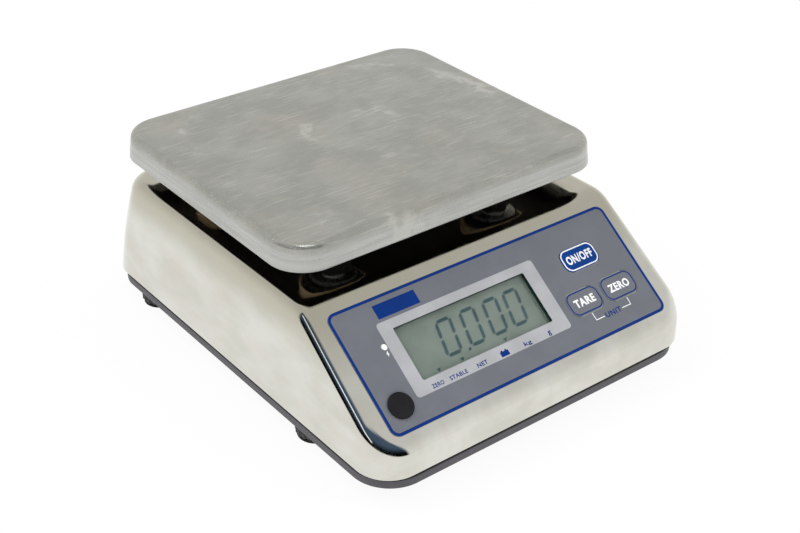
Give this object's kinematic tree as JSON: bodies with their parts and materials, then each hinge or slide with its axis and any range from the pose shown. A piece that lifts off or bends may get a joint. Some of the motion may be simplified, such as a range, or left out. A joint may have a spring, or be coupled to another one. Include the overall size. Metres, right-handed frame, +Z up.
{
  "type": "table scale",
  "caption": "Waterproof electronic table scale with a wedge-shaped steel housing, sloping display panel with keys, lift-off steel platter and levelling feet.",
  "frame": {"origin": "on the table surface, under the middle of the scale", "axes": "+X to the right as seen from the panel side, +Y to the rear, +Z up"},
  "size_m": [0.24, 0.2944, 0.1212],
  "materials": {
    "brushed_steel": "brushed",
    "polished_steel": "polished stainless",
    "plated_steel": "zinc plated",
    "aluminium": "milled",
    "dark_paint": "satin",
    "black_rubber": "matte",
    "black_plastic": "fine grain",
    "grey_overlay": "printed film",
    "blue_key": "printed film",
    "grey_key": "printed film",
    "clear_window": "clear",
    "lcd_green": "glossy",
    "white_lens": "glossy",
    "green_board": "satin"
  },
  "bodies": {
    "housing": {"top_cover": "polished_steel", "cover_gasket": "black_rubber", "cover_rail_front": "plated_steel", "cover_rail_rear": "plated_steel", "base_plate": "dark_paint", "base_screw_1": "plated_steel", "base_screw_2": "plated_steel", "base_screw_3": "plated_steel", "base_screw_4": "plated_steel", "overlay_panel": "grey_overlay", "display_window": "clear_window", "lcd_glass": "lcd_green", "lcd_holder": "black_plastic", "display_board": "green_board", "charge_lamp": "white_lens", "charging_socket": "black_plastic", "post_cushion_1": "black_rubber", "post_cushion_2": "black_rubber", "post_cushion_3": "black_rubber", "post_cushion_4": "black_rubber", "support_post_1": "plated_steel", "support_post_2": "plated_steel", "support_post_3": "plated_steel", "support_post_4": "plated_steel", "post_boot_1": "black_rubber", "post_boot_2": "black_rubber", "post_boot_3": "black_rubber", "post_boot_4": "black_rubber", "spider": "aluminium", "cell_top_block": "aluminium", "load_cell": "aluminium", "cell_base_block": "aluminium", "overload_stop": "plated_steel", "battery": "black_plastic", "battery_clamp": "plated_steel", "battery_lead": "black_rubber", "main_board": "green_board", "amplifier_shield": "plated_steel", "load_cell_cable": "black_rubber"},
    "platter": {"platter": "brushed_steel", "platter_cup_1": "polished_steel", "platter_cup_2": "polished_steel", "platter_cup_3": "polished_steel", "platter_cup_4": "polished_steel"},
    "key_on_off": {"key_on_off": "blue_key"},
    "key_tare": {"key_tare": "grey_key"},
    "key_zero": {"key_zero": "grey_key"},
    "socket_plug": {"socket_plug": "black_rubber"},
    "foot_sole_1": {"foot_sole_1": "black_rubber"},
    "foot_sole_2": {"foot_sole_2": "black_rubber"},
    "foot_sole_3": {"foot_sole_3": "black_rubber"},
    "foot_sole_4": {"foot_sole_4": "black_rubber"},
    "foot_knob_1": {"foot_knob_1": "black_plastic"},
    "foot_knob_2": {"foot_knob_2": "black_plastic"},
    "foot_knob_3": {"foot_knob_3": "black_plastic"},
    "foot_knob_4": {"foot_knob_4": "black_plastic"}
  },
  "joints": [
    {"name": "platter_lift", "type": "slide", "parent": "housing", "child": "platter", "axis": [0, 0, 1], "range_m": [0, 0.06]},
    {"name": "on_off_press", "type": "slide", "parent": "housing", "child": "key_on_off", "axis": [0, -0.5723, 0.8201], "range_m": [-0.0005, 0], "stiffness_N_per_m": 4000},
    {"name": "tare_press", "type": "slide", "parent": "housing", "child": "key_tare", "axis": [0, -0.5723, 0.8201], "range_m": [-0.0005, 0], "stiffness_N_per_m": 4000},
    {"name": "zero_press", "type": "slide", "parent": "housing", "child": "key_zero", "axis": [0, -0.5723, 0.8201], "range_m": [-0.0005, 0], "stiffness_N_per_m": 4000},
    {"name": "plug_pull", "type": "slide", "parent": "housing", "child": "socket_plug", "axis": [0, -0.5723, 0.8201], "range_m": [0, 0.02]},
    {"name": "foot_1_level", "type": "slide", "parent": "housing", "child": "foot_sole_1", "axis": [0, 0, 1], "range_m": [-0.0075, 0.0015]},
    {"name": "foot_2_level", "type": "slide", "parent": "housing", "child": "foot_sole_2", "axis": [0, 0, 1], "range_m": [-0.0075, 0.0015]},
    {"name": "foot_3_level", "type": "slide", "parent": "housing", "child": "foot_sole_3", "axis": [0, 0, 1], "range_m": [-0.0075, 0.0015]},
    {"name": "foot_4_level", "type": "slide", "parent": "housing", "child": "foot_sole_4", "axis": [0, 0, 1], "range_m": [-0.0075, 0.0015]},
    {"name": "foot_1_turn", "type": "hinge", "parent": "foot_sole_1", "child": "foot_knob_1", "pos_m": [-0.1049, -0.0668, 0.005], "axis": [0, 0, 1], "range_deg": [-2159, 431]},
    {"name": "foot_2_turn", "type": "hinge", "parent": "foot_sole_2", "child": "foot_knob_2", "pos_m": [0.1049, -0.0668, 0.005], "axis": [0, 0, 1], "range_deg": [-2159, 431]},
    {"name": "foot_3_turn", "type": "hinge", "parent": "foot_sole_3", "child": "foot_knob_3", "pos_m": [-0.1049, 0.1093, 0.005], "axis": [0, 0, 1], "range_deg": [-2159, 431]},
    {"name": "foot_4_turn", "type": "hinge", "parent": "foot_sole_4", "child": "foot_knob_4", "pos_m": [0.1049, 0.1093, 0.005], "axis": [0, 0, 1], "range_deg": [-2159, 431]}
  ],
  "couplings": [
    {"joint": "foot_1_level", "follows": "foot_1_turn", "m_per_rad": 0.00019894},
    {"joint": "foot_2_level", "follows": "foot_2_turn", "m_per_rad": 0.00019894},
    {"joint": "foot_3_level", "follows": "foot_3_turn", "m_per_rad": 0.00019894},
    {"joint": "foot_4_level", "follows": "foot_4_turn", "m_per_rad": 0.00019894}
  ]
}
